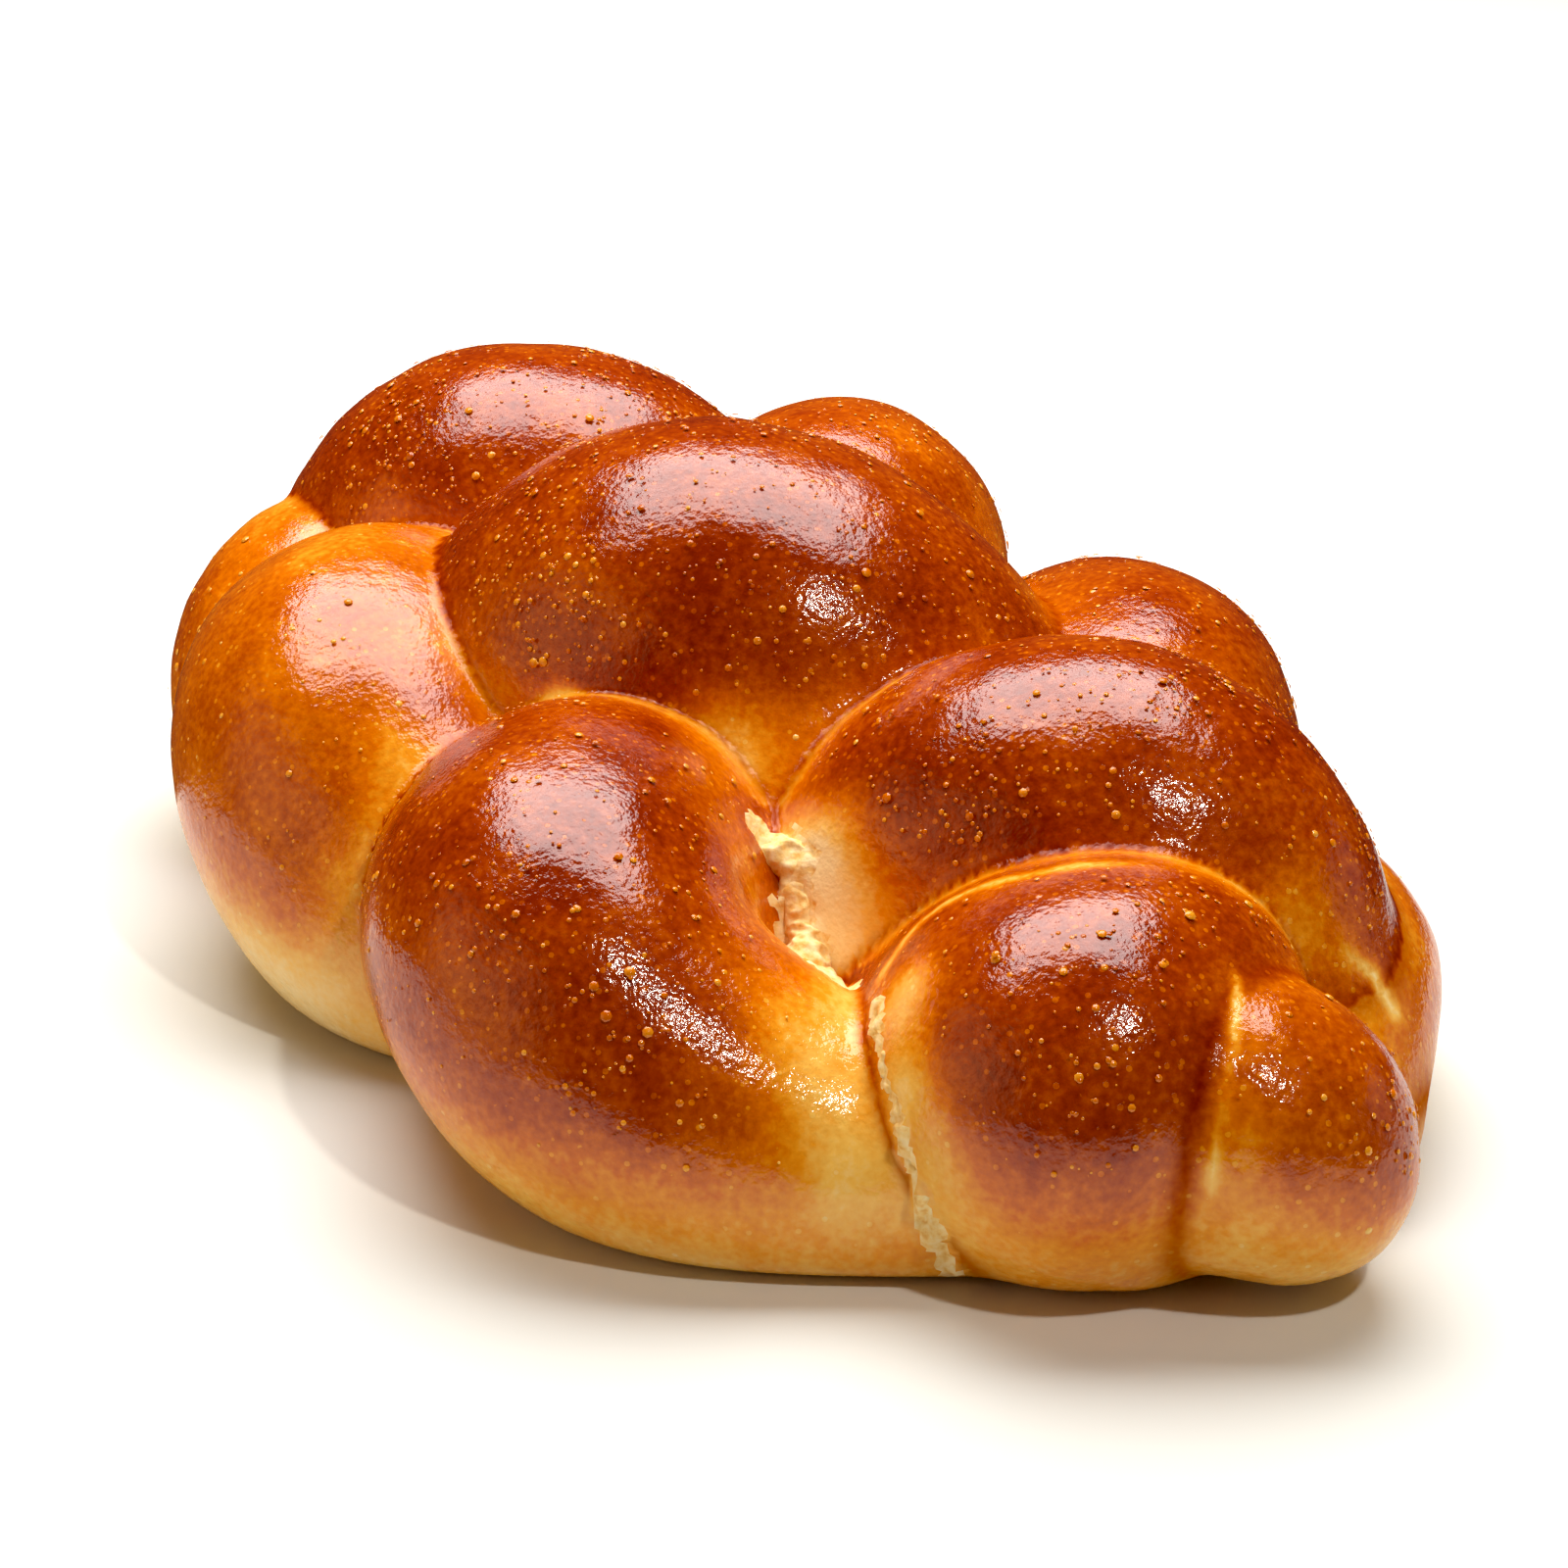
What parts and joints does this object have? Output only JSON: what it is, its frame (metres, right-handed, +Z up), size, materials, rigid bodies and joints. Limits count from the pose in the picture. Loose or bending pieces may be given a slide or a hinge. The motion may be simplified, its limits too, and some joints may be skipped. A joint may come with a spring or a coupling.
{
  "type": "braided loaf",
  "caption": "Oval plaited loaf of baked egg dough with fat overlapping lobes, deep folds, tucked ends and a flat base.",
  "frame": {"origin": "centre of the bounding box's base, on the plane that the loaf rests on", "axes": "+X along the loaf towards the end nearer the viewer, +Y across it, +Z up"},
  "size_m": [0.3002, 0.1932, 0.0929],
  "materials": {
    "crust": "glossy egg-washed crust, deep brown on the crests and pale gold in the folds"
  },
  "bodies": {
    "root": {"loaf": "crust"}
  },
  "joints": []
}
